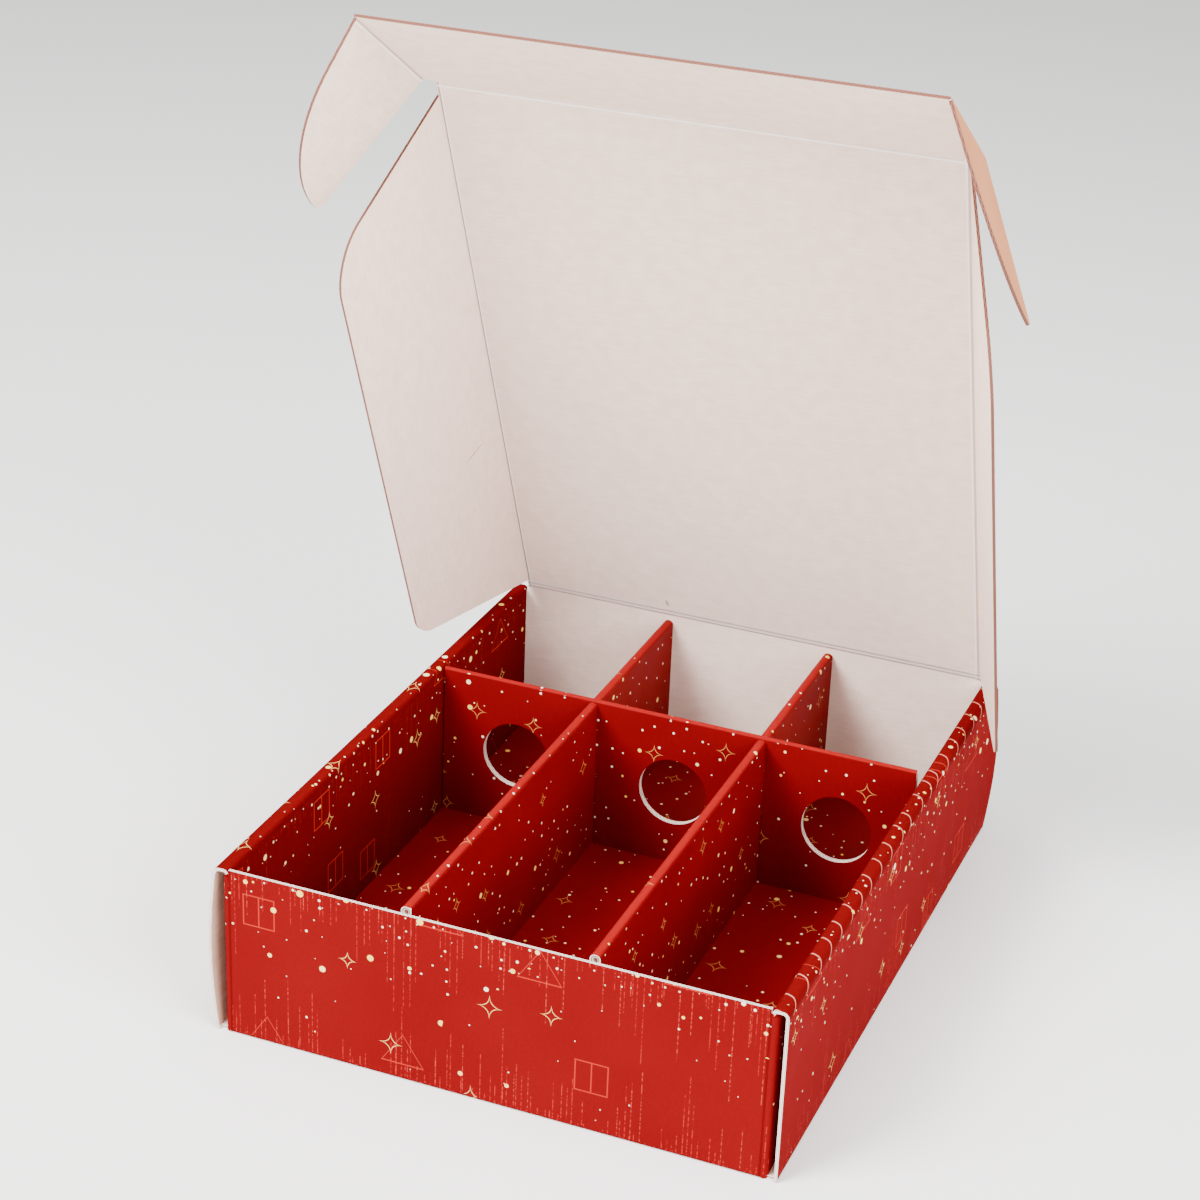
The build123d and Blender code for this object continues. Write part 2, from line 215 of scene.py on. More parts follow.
# %% Streaks
def streaks(tree, level, height, pitch, longest, seed):
    """Broken hairlines, one to a column: level is the coordinate along the wall, and height the
    distance in mm from the edge that they start at. They come in loose groups."""
    core, fade, group = 0.12, 0.34, 24
    column = add(tree, MATH, {"operation": "DIVIDE"}, {0: level, 1: pitch})
    number = add(tree, MATH, {"operation": "FLOOR"}, {0: column})
    place = add(tree, MATH, {"operation": "FRACT"}, {0: column})
    seeded = add(tree, MATH, PLUS, {0: number, 1: seed})
    dice = add(tree, "ShaderNodeTexWhiteNoise", {"noise_dimensions": "1D"}, {"W": seeded})
    rolls = add(tree, CHANNELS, None, {0: dice.outputs["Color"]})
    middle = add(tree, RANGE, None, {0: rolls.outputs[0], 3: 0.25, 4: 0.75})
    away = add(tree, MATH, MINUS, {0: place, 1: middle})
    near = add(tree, MATH, ABSOLUTE, {0: away})
    line = add(tree, RANGE, None, {0: near, 1: core / pitch, 2: fade / pitch, 3: 1.0, 4: 0.0})
    groups = add(tree, NOISE, {"noise_dimensions": "1D"},
                 {"W": seeded, "Scale": pitch / group, "Detail": 1.0})
    busy = add(tree, RANGE, None, {0: groups.outputs[0], 1: 0.38, 2: 0.62, 3: 0.15, 4: 1.0})
    skew = add(tree, MATH, POWER, {0: rolls.outputs[1], 1: 1.6})
    reach = add(tree, MATH, TIMES, {0: skew, 1: longest})
    length = add(tree, MATH, TIMES, {0: reach, 1: busy})
    short = add(tree, MATH, BELOW, {0: height, 1: length})
    where = add(tree, "ShaderNodeCombineXYZ", None, {0: seeded, 1: height})
    broken = add(tree, NOISE, FLAT_NOISE, {"Vector": where, "Scale": 0.55, "Detail": 1.0})
    dashes = add(tree, RANGE, None, {0: broken.outputs[0], 1: 0.45, 2: 0.58, 3: 0.1, 4: 1.0})
    partly = add(tree, MATH, TIMES, {0: line, 1: dashes})
    return add(tree, MATH, TIMES, {0: partly, 1: short})


# %% [markdown]
# ## Printed board
# The print lies under a satin film, so the gloss is soft and even, and the ink has hardly any relief.
# What shows is the board under it: a faint washboard from the flutes and a slow unevenness over some
# centimetres. Both are bump, far finer than any mesh. The film wrinkles in light arcs where the board
# is bent over the right side wall. The insert's and the partition's round tops are painted a paler red,
# a painted highlight, where the print is also thinned by the stretch.

# %% Coordinates and relief of the board
FLUTE, SLOW_WAVE, PAPER_GRAIN = 2.4, 45, 1.4


def start_material(name, roughness, specular=0.5):
    """A new material, its node tree, its shader and the sheet's coordinates in mm."""
    made = bpy.data.materials.new(name)
    made.use_nodes = True
    tree = made.node_tree
    shader = tree.nodes["Principled BSDF"]
    shader.inputs["Roughness"].default_value = roughness
    shader.inputs["Specular IOR Level"].default_value = specular
    sheet = add(tree, "ShaderNodeUVMap", {"uv_map": "Sheet"})
    return made, tree, shader, sheet


def board_relief(tree, shader, sheet, washboard, grain, slow_height=0.9, wrinkles=0.0):
    """Bump from the flutes, which run up the sheet, and from the paper; heights are in mm.

    The flutes are as far apart as real ones. The grain is drawn coarser, so that it shows.
    """
    split = add(tree, SPLIT, None, {0: sheet})
    phase = add(tree, MATH, TIMES, {0: split.outputs[0], 1: 2 * math.pi / FLUTE})
    wave = add(tree, MATH, {"operation": "SINE"}, {0: phase})
    flutes = add(tree, MATH, TIMES, {0: wave, 1: washboard})
    slow = add(tree, NOISE, FLAT_NOISE, {"Vector": sheet, "Scale": 1 / SLOW_WAVE, "Detail": 1.0})
    fine = add(tree, NOISE, FLAT_NOISE, {"Vector": sheet, "Scale": 1 / PAPER_GRAIN, "Detail": 3.0})
    slow_mm = add(tree, MATH, TIMES, {0: slow.outputs[0], 1: slow_height})
    fine_mm = add(tree, MATH, TIMES, {0: fine.outputs[0], 1: grain})
    both = add(tree, MATH, PLUS, {0: slow_mm, 1: fine_mm})
    board = add(tree, MATH, PLUS, {0: both, 1: flutes})
    height = add(tree, MATH, PLUS, {0: board, 1: wrinkles})
    bump = add(tree, "ShaderNodeBump", None, {"Height": height, "Distance": 0.001, "Strength": 1.0})
    tree.links.new(bump.outputs[0], shader.inputs["Normal"])


# %% The band and its wrinkles
BAND_DROP, ARC_SPACING, ARC_LINE, ARC_BOW = 4.2, 17, (0.25, 0.6), 0.06


def band_and_wrinkles(tree, place, below):
    """Masks for the side walls' bands and their inner panels, which get painted shade, and light arcs
    across the right band.
    """
    across = add(tree, MATH, ABSOLUTE, {0: place.outputs[0]})
    beside = add(tree, MATH, ABOVE, {0: across, 1: INNER_X - 1.0})
    near_top = add(tree, MATH, BELOW, {0: below, 1: BAND_DROP})
    band = add(tree, MATH, TIMES, {0: beside, 1: near_top})
    not_outer = add(tree, MATH, BELOW, {0: across, 1: INNER_X + 0.3})
    inner = add(tree, MATH, TIMES, {0: beside, 1: not_outer})
    out = add(tree, MATH, MINUS, {0: place.outputs[0], 1: INNER_X})
    bend = add(tree, MATH, PLUS, {0: out, 1: below})
    square = add(tree, MATH, POWER, {0: bend, 1: 2.0})
    bow = add(tree, MATH, TIMES, {0: square, 1: ARC_BOW})
    along = add(tree, MATH, PLUS, {0: place.outputs[1], 1: bow})
    arcs = add(tree, CELLS, {"voronoi_dimensions": "1D"},
               {"W": along, "Scale": 1 / ARC_SPACING, "Randomness": 0.35})
    near, far = (width / ARC_SPACING for width in ARC_LINE)
    line = add(tree, RANGE, None, {0: arcs.outputs["Distance"], 1: near, 2: far, 3: 1.0, 4: 0.0})
    outer = add(tree, MATH, ABOVE, {0: out, 1: 1.0})
    part = add(tree, MATH, TIMES, {0: band, 1: outer})
    return band, inner, add(tree, MATH, TIMES, {0: line, 1: part})


# %% Printed paper with a satin film
GOLD, OLD_GOLD, SHADED_GOLD, CREAM = "#F4C75F", "#EFBE70", "#DE9C58", "#FFF0D4"
CLOUD, SMALL_DOTS_AT, HIGHLIGHT_RED = 60, (317.0, 91.0, 0.0), "#981814"


def inked(tree, sheet, deep, light):
    """The red ink, which varies slowly between two tones."""
    cloud = add(tree, NOISE, FLAT_NOISE, {"Vector": sheet, "Scale": 1 / CLOUD, "Detail": 2.0})
    return add(tree, MIX, COLOURS, {0: cloud.outputs[0], 6: linear(deep), 7: linear(light)}).outputs[2]


def golden(tree, hue, power):
    """Gold to cream by a random hue, mostly gold."""
    mostly_gold = add(tree, MATH, POWER, {0: hue, 1: power})
    return add(tree, MIX, COLOURS, {0: mostly_gold, 6: linear(GOLD), 7: linear(CREAM)}).outputs[2]


def lay_paints(tree, shader, colour, layers):
    """Lay paints over a colour, each by its mask; a paint is a hex value or a socket."""
    for mask, paint in layers:
        paint = linear(paint) if isinstance(paint, str) else paint
        colour = add(tree, MIX, COLOURS, {0: mask, 6: colour, 7: paint}).outputs[2]
    tree.links.new(colour, shader.inputs["Base Color"])


def printed(name, deep, light, dot_cell, star_cell, dot_share=0.4, star_share=0.75):
    """Offset-printed paper under a satin film, with dots and stars all over.

    The film gives one soft, wide highlight, and the ink under it looks deep and even.
    """
    made, tree, shader, sheet = start_material(name, roughness=0.55, specular=0.04)
    ink = inked(tree, sheet, deep, light)
    shift = add(tree, VECTOR, PLUS, {0: sheet, 1: SMALL_DOTS_AT})
    large, hue = dots(tree, sheet, 2 * dot_cell, smallest=0.7, largest=1.7, share=1.2 * dot_share)
    small, _ = dots(tree, shift, dot_cell, smallest=0.4, largest=0.9, share=dot_share)
    shapes = stars(tree, shift, star_cell, reach=6.2, line=0.58, share=star_share)
    gold = golden(tree, hue, power=2.0)
    # A painted highlight: the round tops of folds are paler red.
    top_highlight = add(tree, ATTRIBUTE, {"attribute_name": "top_highlight"})
    highlight_share = add(tree, MATH, TIMES, {0: top_highlight.outputs["Fac"], 1: 0.4})
    lay_paints(tree, shader, ink, [(highlight_share, HIGHLIGHT_RED), (small, CREAM), (large, gold), (shapes, SHADED_GOLD)])
    board_relief(tree, shader, sheet, washboard=0.012, grain=0.006)
    return made


# %% The same print on the tray's walls
# PAINTED_SHADE is the deep red painted as shade over the bands and the inner panels.
PAINTED_SHADE, FIGURE, DOT, WORN = "#480203", "#DE3C2A", "#F6DCB8", "#EB9682"
STREAKS_FROM_TOP = ((3.1, 58.0, 11.0, "#BE2A22", 0.5), (7.3, 64.0, 23.0, "#CC4A3E", 0.45))
STREAKS_FROM_FLOOR = ((2.7, 50.0, 71.0, "#C22C24", 0.55), (5.9, 42.0, 37.0, "#CC463C", 0.45))


def wall_print(name, deep, light, wall_height):
    """The same paper, whose print follows the wall's height: most dots near the top, and streaks.

    It is rubbed duller than the lid, so it has hardly any highlight.
    """
    made, tree, shader, sheet = start_material(name, roughness=0.75, specular=0.012)
    ink = inked(tree, sheet, deep, light)
    object_place = add(tree, "ShaderNodeTexCoord")
    in_mm = add(tree, VECTOR, {"operation": "SCALE"}, {0: object_place.outputs["Object"], "Scale": 1000.0})
    place = add(tree, SPLIT, None, {0: in_mm})
    level = add(tree, SPLIT, None, {0: sheet})
    below = add(tree, MATH, MINUS, {0: wall_height, 1: place.outputs[2]})
    band, inner, arcs = band_and_wrinkles(tree, place, below)
    plain = add(tree, MATH, MINUS, {0: 1.0, 1: band})
    layers = []
    hanging = [(below, *streak) for streak in STREAKS_FROM_TOP]
    rising = [(place.outputs[2], *streak) for streak in STREAKS_FROM_FLOOR]
    for height, pitch, longest, seed, code, strength in (hanging[0], rising[0], hanging[1], rising[1]):
        mask = streaks(tree, level.outputs[0], height, pitch, longest, seed)
        faded = add(tree, MATH, TIMES, {0: mask, 1: strength})
        weak = add(tree, MATH, TIMES, {0: faded, 1: plain})
        layers.append((weak, code))
    shift = add(tree, VECTOR, PLUS, {0: sheet, 1: SMALL_DOTS_AT})
    many = add(tree, RANGE, None, {0: below, 1: 8.0, 2: 38.0, 3: 0.42, 4: 0.02})
    some = add(tree, RANGE, None, {0: below, 1: 8.0, 2: 42.0, 3: 0.5, 4: 0.07})
    large, hue = dots(tree, sheet, cell=13.0, smallest=0.7, largest=2.0, share=many)
    small, _ = dots(tree, shift, cell=7.0, smallest=0.35, largest=0.9, share=some)
    shapes = stars(tree, shift, cell=46.0, reach=6.8, line=0.66, share=0.62)
    right_side = add(tree, MATH, ABOVE, {0: place.outputs[0], 1: INNER_X - 1.0})
    further = add(tree, MATH, {"operation": "MULTIPLY_ADD"}, {0: right_side, 1: 211.0, 2: level.outputs[0]})
    upright = add(tree, "ShaderNodeCombineXYZ", None, {0: further, 1: place.outputs[2]})
    figures = outlines(tree, upright, cell=74.0, size=8.5, line=0.32, share=0.8)
    faint = add(tree, MATH, TIMES, {0: figures, 1: 0.42})
    worn = add(tree, MATH, TIMES, {0: arcs, 1: 0.6})
    # Painted shade: the bands and the inner panels are darkened half way to a deep red.
    painted_shade_mask = add(tree, MATH, LARGER, {0: band, 1: inner})
    shade = add(tree, MATH, TIMES, {0: painted_shade_mask, 1: 0.5})
    gold = golden(tree, hue, power=2.5)
    layers += [(shade, PAINTED_SHADE), (faint, FIGURE), (small, DOT), (large, gold), (shapes, OLD_GOLD),
               (worn, WORN)]
    lay_paints(tree, shader, ink, layers)
    raised = add(tree, MATH, TIMES, {0: arcs, 1: 0.08})
    board_relief(tree, shader, sheet, washboard=0.012, grain=0.006, wrinkles=raised)
    return made


# %% [markdown]
# ## Unprinted liner and the cut edge
# The inside of the sheet is bleached paper with no coating: matt, a little pink, with the flutes
# faintly showing as fine lines and a soft mottle. It has two marks: a short slit in the left flap and
# a small stain on the lid, each a narrow ellipse on the sheet. A die-cut edge shows two liners with a
# wave of paper between them. Where the cut runs along the flutes the wave is a straight line, and the
# same sum gives both, because it reads the position across the flutes.

# %% Bleached liner
# CREASE_SHADE and SCORE_HIGHLIGHT are painted shade and a painted highlight along the score lines.
FIBRE, MOTTLE, CREASE_SHADE, SCORE_HIGHLIGHT = (18, 0.9), 9, "#8E7264", "#FFFCFA"


def liner(name, tone, shade, marks):
    """Uncoated paper: matt, with fibres that lie across the flutes and a soft mottle."""
    made, tree, shader, sheet = start_material(name, roughness=0.82, specular=0.3)
    stretch = add(tree, "ShaderNodeMapping", None,
                  {"Vector": sheet, "Scale": (1 / FIBRE[0], 1 / FIBRE[1], 1.0)})
    lines = add(tree, NOISE, FLAT_NOISE, {"Vector": stretch, "Scale": 1.0, "Detail": 2.0})
    mottle = add(tree, NOISE, FLAT_NOISE, {"Vector": sheet, "Scale": 1 / MOTTLE, "Detail": 5.0})
    both = add(tree, MATH, PLUS, {0: lines.outputs[0], 1: mottle.outputs[0]})
    amount = add(tree, RANGE, None, {0: both, 1: 0.75, 2: 1.3})
    plain = add(tree, MIX, COLOURS, {0: amount, 6: linear(shade), 7: linear(tone)})
    layers = []
    for middle, length, width, turn, code in marks:
        moved = add(tree, VECTOR, MINUS, {0: sheet, 1: (*middle, 0.0)})
        turned = add(tree, "ShaderNodeMapping", {"vector_type": "TEXTURE"},
                     {"Vector": moved, "Rotation": (0, 0, math.radians(turn)),
                      "Scale": (length / 2, width / 2, 1.0)})
        far = add(tree, VECTOR, {"operation": "LENGTH"}, {0: turned})
        mask = add(tree, RANGE, None, {0: far.outputs["Value"], 1: 0.6, 2: 1.1, 3: 0.8, 4: 0.0})
        layers.append((mask, code))
    # Painted shade beside each score line, and a painted highlight on it.
    for line, code in (("painted_dent_shade", CREASE_SHADE), ("painted_score_light", SCORE_HIGHLIGHT)):
        layers.append((add(tree, ATTRIBUTE, {"attribute_name": line}).outputs["Fac"], code))
    lay_paints(tree, shader, plain.outputs[2], layers)
    board_relief(tree, shader, sheet, washboard=0.01, grain=0.012, slow_height=0.5)
    return made


# %% Cut edge
def cut_edge(name, paper, hollow_shade):
    """Raw paper cut by a die: two liners, and a wave of fluting between them; the hollows under it are
    painted dark, as shade.
    """
    made, tree, shader, sheet = start_material(name, roughness=0.9)
    through = add(tree, ATTRIBUTE, {"attribute_name": "depth"})
    split = add(tree, SPLIT, None, {0: sheet})
    phase = add(tree, MATH, TIMES, {0: split.outputs[0], 1: 2 * math.pi / FLUTE})
    wave = add(tree, MATH, {"operation": "SINE"}, {0: phase})
    middle = add(tree, RANGE, None, {0: wave, 1: -1.0, 2: 1.0, 3: 0.25, 4: 0.75})
    away = add(tree, MATH, MINUS, {0: through.outputs["Fac"], 1: middle})
    near = add(tree, MATH, ABSOLUTE, {0: away})
    flute = add(tree, RANGE, None, {0: near, 1: 0.1, 2: 0.2, 3: 1.0, 4: 0.0})
    centre = add(tree, MATH, MINUS, {0: through.outputs["Fac"], 1: 0.5})
    outward = add(tree, MATH, ABSOLUTE, {0: centre})
    liners = add(tree, RANGE, None, {0: outward, 1: 0.3, 2: 0.38})
    solid = add(tree, MATH, LARGER, {0: flute, 1: liners})
    # Where there is no paper, the colour is the painted shade of the hollows.
    colour = add(tree, MIX, COLOURS, {0: solid, 6: linear(hollow_shade), 7: linear(paper)})
    tree.links.new(colour.outputs[2], shader.inputs["Base Color"])
    return made


# %% [markdown]
# ## One material for each finish
# The four prints differ in how deep their red is, and in what lies on it. The wings show no print but a
# plain peach, a painted sheen for the satin film's glare at a grazing angle. The inside is bleached; in the
# hollow of the side walls it is painted brown, as shade with red light reflected into it. The ink has bled
# into the cut edges of the lid and its flaps, and the tray's edges are clean. The flute hollows in every
# cut edge are painted dark, as shade.

# %% Make the materials
LEFT_FLAP_SHEET, LID_SHEET = 2400.0, 2000.0
FLAWS = [((LEFT_FLAP_SHEET + 128.5, 23.5), 19.0, 0.9, 104.0, "#8C6F62"),
         ((LID_SHEET - 50.0, 10.5), 5.5, 2.2, 100.0, "#A88C82")]
WALL_PRINT = wall_print("printed_wall_board", "#66060A", "#700A0D", HEIGHT)
LID_PRINT = printed("printed_board", "#6A0508", "#76090C", dot_cell=9.0, star_cell=58.0)
# The wings' peach, with no dots or stars, is a painted sheen: the satin film's glare at a grazing angle, in
# place of the red print.
WING_SHEEN = printed("board_with_painted_sheen", "#C67C52", "#D28E62", dot_cell=9.0, star_cell=58.0,
                     dot_share=0.0, star_share=0.0)
INSERT_PRINT = printed("printed_insert_board", "#660005", "#720107", dot_cell=9.0, star_cell=38.0,
                       dot_share=0.32)
# The liner in the side walls' hollow is painted brown: painted shade, with red light reflected into it.
HOLLOW_SHADE_LINER = liner("liner_with_painted_shade", "#C39C88", "#B48C78", [])
LINER = liner("bleached_liner", "#F8E0D0", "#EED3C4", FLAWS)
# The darker colour of each cut edge is painted shade in its flute hollows.
EDGE = cut_edge("cut_corrugated_edge", "#F2E6DC", "#86695A")
LID_EDGE = cut_edge("cut_corrugated_edge_with_ink", "#82503E", "#522C22")
BOX_BOARD = [WALL_PRINT, LINER, EDGE, HOLLOW_SHADE_LINER]
LID_BOARD = [LID_PRINT, LINER, LID_EDGE]
WING_BOARD = [WING_SHEEN, LINER, LID_EDGE]
INSERT_BOARD_MATERIALS = [INSERT_PRINT, LINER, EDGE]
boards = (BOX_BOARD, LID_BOARD, WING_BOARD, INSERT_BOARD_MATERIALS)
print("materials:", ", ".join(sorted({made.name for board in boards for made in board})))

# %% [markdown]
# ## Folding board
# A folded sheet is a section drawn once and pulled along its creases. The section is a few vertices
# joined by edges, a vertex bevel makes each corner a round fold, an extrude makes the sheet, and a
# solidify gives it the board's thickness on the unprinted side. Each vertex keeps its distance along
# the section, which is the flat sheet's coordinate for the print. Vertices are looked for within CLOSE.

# %% Fold a thin sheet
OUTSIDE, INSIDE, CUT, HIDDEN = 0, 1, 2, 3
CLOSE = 0.01
FOLD_STEPS = 7


def new_sheet():
    """An empty mesh whose vertices keep their place on the sheet and their depth in the board."""
    bm = bmesh.new()
    for name in ("run", "span", "depth"):
        bm.verts.layers.float.new(name)
    return bm


def round_corner(bm, corner, reach, steps):
    """Round off one vertex: a corner of a section or of a flat face."""
    bmesh.ops.bevel(bm, geom=[corner], affect="VERTICES", offset=reach, offset_type="OFFSET",
                    segments=steps, profile=0.5, material=-1, clamp_overlap=False)


def fold(section, ends, a, b, along):
    """A thin sheet from a section of (a, b, radius) corners, printed on the right of its travel."""
    bm = new_sheet()
    run, span = bm.verts.layers.float["run"], bm.verts.layers.float["span"]
    corners = [bm.verts.new(a * p + b * q + along * ends[0]) for p, q, _ in section]
    for pair in zip(corners, corners[1:]):
        bm.edges.new(pair)
    for corner, (_, _, radius) in zip(corners, section):
        if radius:
            round_corner(bm, corner, radius, FOLD_STEPS)
    here, last, length = corners[0], None, 0.0
    while True:
        here[run], here[span] = length, ends[0]
        ahead = [e for e in here.link_edges if e != last]
        if not ahead:
            break
        last = ahead[0]
        length += last.calc_length()
        here = last.other_vert(here)
    made = bmesh.ops.extrude_edge_only(bm, edges=bm.edges[:])["geom"]
    far = [g for g in made if isinstance(g, bmesh.types.BMVert)]
    bmesh.ops.translate(bm, verts=far, vec=along * (ends[1] - ends[0]))
    for vert in far:
        vert[span] = ends[1]
    bmesh.ops.recalc_face_normals(bm, faces=bm.faces[:])
    first = corners[0].link_faces[0]
    (p0, q0, _), (p1, q1, _) = section[:2]
    if first.normal.dot(a * (q1 - q0) - b * (p1 - p0)) < 0:
        bmesh.ops.reverse_faces(bm, faces=bm.faces[:])
    return bm


# %% Cut it, and give it its thickness
def cut(bm, point, normal):
    """Cut the sheet along a plane, without taking anything away."""
    bmesh.ops.bisect_plane(bm, geom=bm.verts[:] + bm.edges[:] + bm.faces[:], dist=1e-4,
                           plane_co=point, plane_no=normal)


def slice_at(bm, axis, *places):
    """Cut the sheet straight across at places along an axis."""
    for place in places:
        cut(bm, axis * place, axis)


def drop(bm, test):
    """Take away the faces whose middle passes a test."""
    gone = [f for f in bm.faces if test(f.calc_center_median())]
    bmesh.ops.delete(bm, geom=gone, context="FACES")


def thicken(bm, thickness):
    """Give a thin sheet its thickness, and sort its faces into outside, inside and cut edge."""
    depth = bm.verts.layers.float["depth"]
    made = bmesh.ops.solidify(bm, geom=bm.faces[:], thickness=thickness)["geom"]
    for vert in (g for g in made if isinstance(g, bmesh.types.BMVert)):
        vert[depth] = 1.0
    for face in bm.faces:
        sides = {round(vert[depth]) for vert in face.verts}
        face.material_index = CUT if len(sides) == 2 else INSIDE if 1 in sides else OUTSIDE
        face.smooth = face.material_index != CUT
    for edge in bm.edges:
        edge.smooth = len({f.material_index for f in edge.link_faces}) == 1


def paint_top_highlights(bm, top):
    """Mark the round top of a fold, which gets a paler red as a painted highlight, where the print is also
    thinned by the stretch.
    """
    round_depth = 0.9
    top_highlight = bm.verts.layers.float.new("top_highlight")
    for vert in bm.verts:
        vert[top_highlight] = float(vert.co.z > top - round_depth)


# %% [markdown]
# ## From mesh to piece
# A piece may be made of several folded strips, such as the tray. Each strip writes its sheet
# coordinates to one UV map, from a place of its own on the printed sheet, so that no two panels show
# the same print. Then all of them go into one mesh, which gets its materials and rides on its body.

# %% Sheet coordinates and the finished piece
def lay_out(bm, across, shift):
    """Write the sheet's coordinates, in mm, to a UV map; across is the layer that runs level."""
    layers = bm.verts.layers.float
    level, other = (layers["span"], layers["run"]) if across == "span" else (layers["run"], layers["span"])
    sheet = bm.loops.layers.uv.new("Sheet")
    for face in bm.faces:
        for loop in face.loops:
            loop[sheet].uv = (loop.vert[level] + shift[0], loop.vert[other] + shift[1])


def make_piece(name, strips, board, body, slot, *nodes):
    """One object from one or more strips, in metres, on its body in place of its CAD nodes."""
    whole = bmesh.new()
    for strip in strips:
        part = bpy.data.meshes.new(name)
        strip.to_mesh(part)
        strip.free()
        whole.from_mesh(part)
        bpy.data.meshes.remove(part)
    bmesh.ops.scale(whole, vec=(0.001, 0.001, 0.001), verts=whole.verts[:])
    mesh = bpy.data.meshes.new(name)
    whole.to_mesh(mesh)
    whole.free()
    for material in board:
        mesh.materials.append(material)
    piece = new_object(name, mesh)
    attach(piece, body)
    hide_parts(*nodes)
    print(f"{name}: {len(mesh.polygons)} faces on {body}")


# %% [markdown]
# ## The tray's floor and rolled side walls
# Floor and side walls are one strip. Each side goes up outside, over a flat band on top, and down
# again inside, and two tabs lock it into slots in the floor. The band's outer corner is rounder, because
# the board isn't scored as deep there. At two opposite corners nothing holds the outer panel, and it
# has sprung out by a few millimetres.

# %% Side strip
BAND_OUTER, BAND_INNER, FLOOR_FOLD, CORNER_FOLD = 3.4, 2.4, 1.7, 2.6
TAB_Y, TAB_HALF, TAB_PLAY = 95.0, 15.0, 0.4
LOW = BOARD + PLAY

section = [(-INNER_X, LOW, 0), (-INNER_X, HEIGHT, BAND_INNER), (-HALF_W, HEIGHT, BAND_OUTER),
           (-HALF_W, 0, FLOOR_FOLD), (HALF_W, 0, FLOOR_FOLD), (HALF_W, HEIGHT, BAND_OUTER),
           (INNER_X, HEIGHT, BAND_INNER), (INNER_X, LOW, 0)]
sides = fold(section, (-HALF_D, HALF_D), X, Z, Y)
inner_end = INNER_Y - PLAY
floor_end = HALF_D - FLOOR_FOLD
slice_at(sides, Y, -inner_end, inner_end, -floor_end, floor_end)
drop(sides, lambda c: abs(c.y) > inner_end and abs(c.x) < INNER_X + PLAY / 2
     and FLOOR_FOLD < c.z < HEIGHT - BAND_INNER)
drop(sides, lambda c: abs(c.y) > floor_end and c.z < CLOSE)
print("side strip:", len(sides.faces), "faces before it is sliced")

# %% Outer panels that have sprung out
SPRUNG_GAP, SPRUNG_REACH, ROWS = 3.4, 20.0, 8
CUTS_FROM_END = (5.0, 12.0, 20.0, 30.0, 44.0, 62.0, 88.0)
for row in range(1, ROWS):
    slice_at(sides, Z, HEIGHT * row / ROWS)
for from_end in CUTS_FROM_END:
    slice_at(sides, Y, from_end - HALF_D, HALF_D - from_end)
for side, end in ((-1, -1), (1, 1)):
    for vert in sides.verts:
        if vert.co.x * side > HALF_W - CLOSE:
            bulge = math.sin(math.pi * min(max(vert.co.z / HEIGHT, 0.0), 1.0))
            vert.co.x += side * SPRUNG_GAP * bulge * math.exp((end * vert.co.y - HALF_D) / SPRUNG_REACH)
print("side strip sliced to", len(sides.faces), "faces")

# %% Lock tabs and their slots
for end in (-1, 1):
    for play in (-TAB_PLAY, 0.0, TAB_PLAY + 2 * TAB_HALF, 2 * TAB_HALF):
        slice_at(sides, Y, end * TAB_Y - TAB_HALF + play)
slot_in, slot_out = INNER_X - TAB_PLAY, INNER_X + BOARD + TAB_PLAY
slice_at(sides, X, -slot_out, -slot_in, slot_in, slot_out)
drop(sides, lambda c: c.z < CLOSE and slot_in < abs(c.x) < slot_out
     and abs(abs(c.y) - TAB_Y) < TAB_HALF + TAB_PLAY)
tab_edges = [e for e in sides.edges
             if all(abs(v.co.z - LOW) < 1e-3 and abs(abs(v.co.y) - TAB_Y) < TAB_HALF + 1e-3
                    for v in e.verts)]
tabs = bmesh.ops.extrude_edge_only(sides, edges=tab_edges)["geom"]
bmesh.ops.translate(sides, verts=[g for g in tabs if isinstance(g, bmesh.types.BMVert)],
                    vec=Z * (PLAY - LOW))
thicken(sides, BOARD)
# Inside faces in the hollow of the side walls get the liner with painted shade.
for face in sides.faces:
    middle = face.calc_center_median()
    if face.material_index == INSIDE and abs(middle.x) > INNER_X + BOARD + 0.5 and middle.z > FLOOR_FOLD:
        face.material_index = HIDDEN
lay_out(sides, "span", (HALF_D, 0))
print("side strip:", len(sides.faces), "faces,", len(tab_edges), "tab edges")

# %% [markdown]
# ## The end walls
# The front and the back wall are strips drawn in plan: the wall with a corner flap at each end, hidden
# in the hollow side wall. Under each a short strip makes its fold into the floor. The back wall ends in
# the lid's crease, so its top edge gets a full round about the crease's axis.

# %% End walls with their corner flaps
FLAP_LENGTH, FLAP_TAPER = 82.0, 6.0
WALL_FOOT, CREASE_RISE, TONGUE_ROOT, TONGUE_INSET = 0.3, 0.7, 0.35, 0.95
wall_top = {-1: HEIGHT, 1: hinge.z + CREASE_RISE}
hidden_top = HEIGHT - BOARD - 2 * PLAY
tongue = FLAP_X - TONGUE_INSET
fold_reach = CORNER_X - CORNER_FOLD


